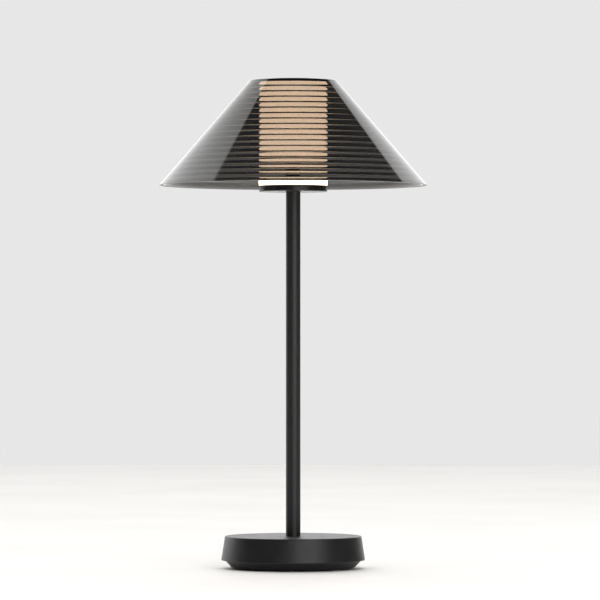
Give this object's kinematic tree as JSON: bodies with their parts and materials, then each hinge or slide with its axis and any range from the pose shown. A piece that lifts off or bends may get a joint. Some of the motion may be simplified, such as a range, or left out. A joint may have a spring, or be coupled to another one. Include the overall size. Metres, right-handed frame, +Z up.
{
  "type": "solar lantern",
  "caption": "Cordless solar table lantern: weighted round base, thin stem, lit drum under a solar panel, ribbed smoked cone shade that lifts off.",
  "frame": {"origin": "on the floor, under the middle of the stem, at the feet's lower faces", "axes": "+Z up along the stem, -Y to the front, +Y to the rear where the charging port and the switch are"},
  "size_m": [0.2188, 0.2188, 0.4007],
  "materials": {
    "shade_smoked": "smoked clear polycarbonate, polished outside, ribbed inside",
    "opal_plastic": "opal polycarbonate, satin, lit warm white from inside",
    "black_abs": "black ABS, fine spark-eroded texture",
    "seal_rubber": "black silicone rubber",
    "circuit_board": "glass-epoxy board with green solder mask",
    "solar_cell": "dark blue monocrystalline silicon with fine silver lines",
    "clear_cover": "clear polycarbonate",
    "core_aluminium": "extruded aluminium, plain",
    "led_package": "white moulded package with yellow phosphor",
    "component_body": "moulded epoxy",
    "screw_steel": "zinc-plated steel",
    "stem_coating": "matt black powder coat on aluminium",
    "brass": "turned brass",
    "base_coating": "matt black powder coat",
    "ballast_steel": "plain mild steel, oiled",
    "foot_rubber": "black moulded rubber",
    "holder_plastic": "black nylon",
    "cell_sleeve": "heat-shrink sleeve on a cylindrical lithium cell",
    "connector_nylon": "natural nylon",
    "cable_sheath": "black silicone insulation",
    "port_steel": "stamped stainless steel shell",
    "flap_silicone": "soft black silicone",
    "button_plastic": "black ABS, satin"
  },
  "bodies": {
    "stand": {"diffuser": "opal_plastic", "top_cap": "black_abs", "top_gasket": "seal_rubber", "solar_board": "circuit_board", "solar_cells": "solar_cell", "solar_cover": "clear_cover", "bottom_cap": "black_abs", "bottom_gasket": "seal_rubber", "led_core": "core_aluminium", "led_boards": "circuit_board", "led_chips": "led_package", "driver_board": "circuit_board", "driver_components": "component_body", "top_core_screws": "screw_steel", "bottom_core_screws": "screw_steel", "stem": "stem_coating", "stem_lower_stud": "brass", "stem_upper_stud": "brass", "stem_lower_washer": "screw_steel", "stem_upper_washer": "screw_steel", "stem_lower_nut": "screw_steel", "stem_upper_nut": "screw_steel", "base_cover": "base_coating", "base_tray": "black_abs", "ballast_left": "ballast_steel", "ballast_right": "ballast_steel", "ballast_screws": "screw_steel", "tray_screws": "screw_steel", "rubber_feet": "foot_rubber", "battery_holder": "holder_plastic", "battery_cell": "cell_sleeve", "battery_contacts": "brass", "control_board": "circuit_board", "board_screws": "screw_steel", "board_components": "component_body", "board_connectors": "connector_nylon", "wiring_harness": "cable_sheath", "battery_leads": "cable_sheath", "port_panel": "black_abs", "usb_port": "port_steel", "switch_body": "component_body", "charge_light_pipe": "clear_cover"},
    "shade": {"shade": "shade_smoked"},
    "button": {"button": "button_plastic", "switch_plunger": "holder_plastic"},
    "port_flap": {"port_flap": "flap_silicone"}
  },
  "joints": [
    {"name": "shade_lift", "type": "slide", "parent": "stand", "child": "shade", "axis": [0, 0, 1], "range_m": [0, 0.095]},
    {"name": "button_press", "type": "slide", "parent": "stand", "child": "button", "axis": [0, -1, 0], "range_m": [0, 0.0012], "stiffness_N_per_m": 400},
    {"name": "flap_hinge", "type": "hinge", "parent": "stand", "child": "port_flap", "pos_m": [-0.0142, 0.05357, 0.01323], "axis": [0, 0, 1], "range_deg": [0, 110]}
  ]
}
